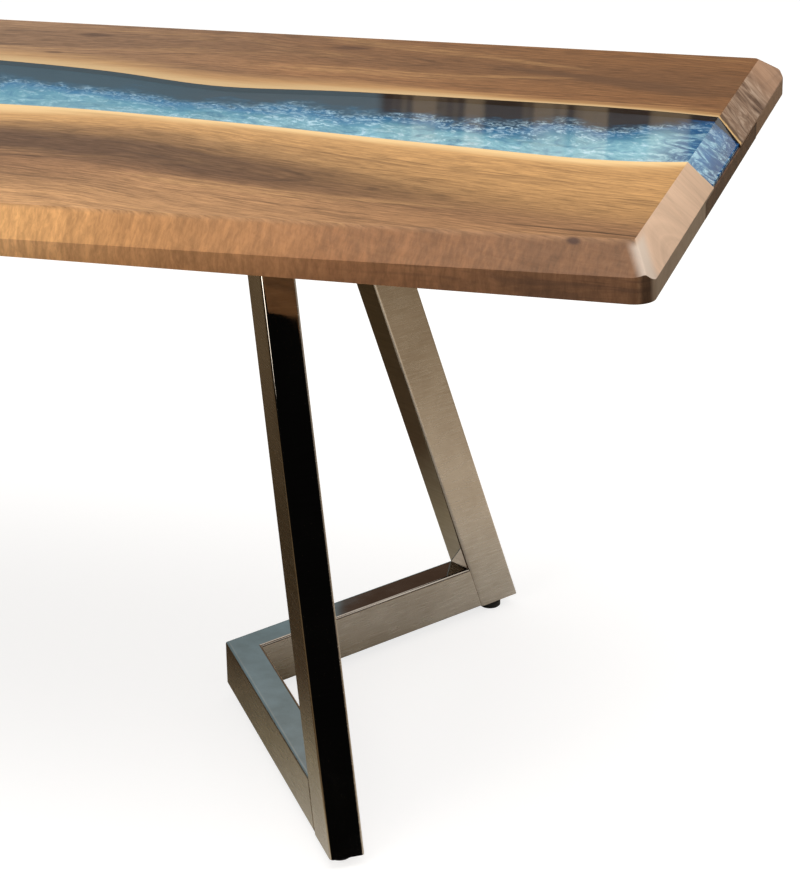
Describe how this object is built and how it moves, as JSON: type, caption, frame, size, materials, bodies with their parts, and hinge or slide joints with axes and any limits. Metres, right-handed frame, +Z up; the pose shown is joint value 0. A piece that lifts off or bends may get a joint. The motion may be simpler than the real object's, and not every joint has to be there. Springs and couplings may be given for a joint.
{
  "type": "river dining table",
  "caption": "Dining table with live-edge walnut slabs around a clear resin river over blue waves, on welded V frames of rectangular steel tube with levelling feet.",
  "frame": {"origin": "on the floor under the middle of the top", "axes": "+X along the table's length to the pictured end, +Y across to the rear slab, +Z up"},
  "size_m": [2, 0.85, 0.75],
  "materials": {
    "walnut": "oiled satin, pale sapwood beside the river",
    "walnut_bed": "oiled satin",
    "wave_resin": "pigmented blue with white foam",
    "clear_resin": "clear, polished",
    "frame_steel": "bronze tinted, brushed and polished",
    "zinc_steel": "zinc plated",
    "brass": "machined",
    "black_glide": "moulded black nylon"
  },
  "bodies": {
    "table": {"slab_front": "walnut", "slab_rear": "walnut", "river_bed_board": "walnut_bed", "river_wave_layer": "wave_resin", "river_clear_resin": "clear_resin", "plate_bolts": "zinc_steel", "plate_washers": "zinc_steel", "threaded_inserts": "brass", "weld_nuts": "zinc_steel", "right_top_plate": "frame_steel", "left_top_plate": "frame_steel", "right_front_floor_tube": "frame_steel", "right_front_leg_tube": "frame_steel", "right_front_foot_plate": "frame_steel", "right_rear_floor_tube": "frame_steel", "right_rear_leg_tube": "frame_steel", "right_rear_foot_plate": "frame_steel", "left_front_floor_tube": "frame_steel", "left_front_leg_tube": "frame_steel", "left_front_foot_plate": "frame_steel", "left_rear_floor_tube": "frame_steel", "left_rear_leg_tube": "frame_steel", "left_rear_foot_plate": "frame_steel"},
    "right_front_foot": {"right_front_pad": "black_glide"},
    "right_front_screw": {"right_front_stem": "zinc_steel"},
    "right_rear_foot": {"right_rear_pad": "black_glide"},
    "right_rear_screw": {"right_rear_stem": "zinc_steel"},
    "right_apex_foot": {"right_apex_pad": "black_glide"},
    "right_apex_screw": {"right_apex_stem": "zinc_steel"},
    "left_front_foot": {"left_front_pad": "black_glide"},
    "left_front_screw": {"left_front_stem": "zinc_steel"},
    "left_rear_foot": {"left_rear_pad": "black_glide"},
    "left_rear_screw": {"left_rear_stem": "zinc_steel"},
    "left_apex_foot": {"left_apex_pad": "black_glide"},
    "left_apex_screw": {"left_apex_stem": "zinc_steel"}
  },
  "joints": [
    {"name": "right_front_foot_travel", "type": "slide", "parent": "table", "child": "right_front_foot", "axis": [0, 0, -1], "range_m": [0, 0.012]},
    {"name": "right_front_screw_turn", "type": "hinge", "parent": "right_front_foot", "child": "right_front_screw", "pos_m": [0.64556, -0.33587, 0.014], "axis": [0, 0, -1], "range_deg": [0, 3600]},
    {"name": "right_rear_foot_travel", "type": "slide", "parent": "table", "child": "right_rear_foot", "axis": [0, 0, -1], "range_m": [0, 0.012]},
    {"name": "right_rear_screw_turn", "type": "hinge", "parent": "right_rear_foot", "child": "right_rear_screw", "pos_m": [0.64556, 0.33587, 0.014], "axis": [0, 0, -1], "range_deg": [0, 3600]},
    {"name": "right_apex_foot_travel", "type": "slide", "parent": "table", "child": "right_apex_foot", "axis": [0, 0, -1], "range_m": [0, 0.012]},
    {"name": "right_apex_screw_turn", "type": "hinge", "parent": "right_apex_foot", "child": "right_apex_screw", "pos_m": [0.424, 0, 0.014], "axis": [0, 0, -1], "range_deg": [0, 3600]},
    {"name": "left_front_foot_travel", "type": "slide", "parent": "table", "child": "left_front_foot", "axis": [0, 0, -1], "range_m": [0, 0.012]},
    {"name": "left_front_screw_turn", "type": "hinge", "parent": "left_front_foot", "child": "left_front_screw", "pos_m": [-0.64556, -0.33587, 0.014], "axis": [0, 0, -1], "range_deg": [0, 3600]},
    {"name": "left_rear_foot_travel", "type": "slide", "parent": "table", "child": "left_rear_foot", "axis": [0, 0, -1], "range_m": [0, 0.012]},
    {"name": "left_rear_screw_turn", "type": "hinge", "parent": "left_rear_foot", "child": "left_rear_screw", "pos_m": [-0.64556, 0.33587, 0.014], "axis": [0, 0, -1], "range_deg": [0, 3600]},
    {"name": "left_apex_foot_travel", "type": "slide", "parent": "table", "child": "left_apex_foot", "axis": [0, 0, -1], "range_m": [0, 0.012]},
    {"name": "left_apex_screw_turn", "type": "hinge", "parent": "left_apex_foot", "child": "left_apex_screw", "pos_m": [-0.424, 0, 0.014], "axis": [0, 0, -1], "range_deg": [0, 3600]}
  ],
  "couplings": [
    {"joint": "right_front_screw_turn", "follows": "right_front_foot_travel", "rad_per_m": 5026.5},
    {"joint": "right_rear_screw_turn", "follows": "right_rear_foot_travel", "rad_per_m": 5026.5},
    {"joint": "right_apex_screw_turn", "follows": "right_apex_foot_travel", "rad_per_m": 5026.5},
    {"joint": "left_front_screw_turn", "follows": "left_front_foot_travel", "rad_per_m": 5026.5},
    {"joint": "left_rear_screw_turn", "follows": "left_rear_foot_travel", "rad_per_m": 5026.5},
    {"joint": "left_apex_screw_turn", "follows": "left_apex_foot_travel", "rad_per_m": 5026.5}
  ]
}
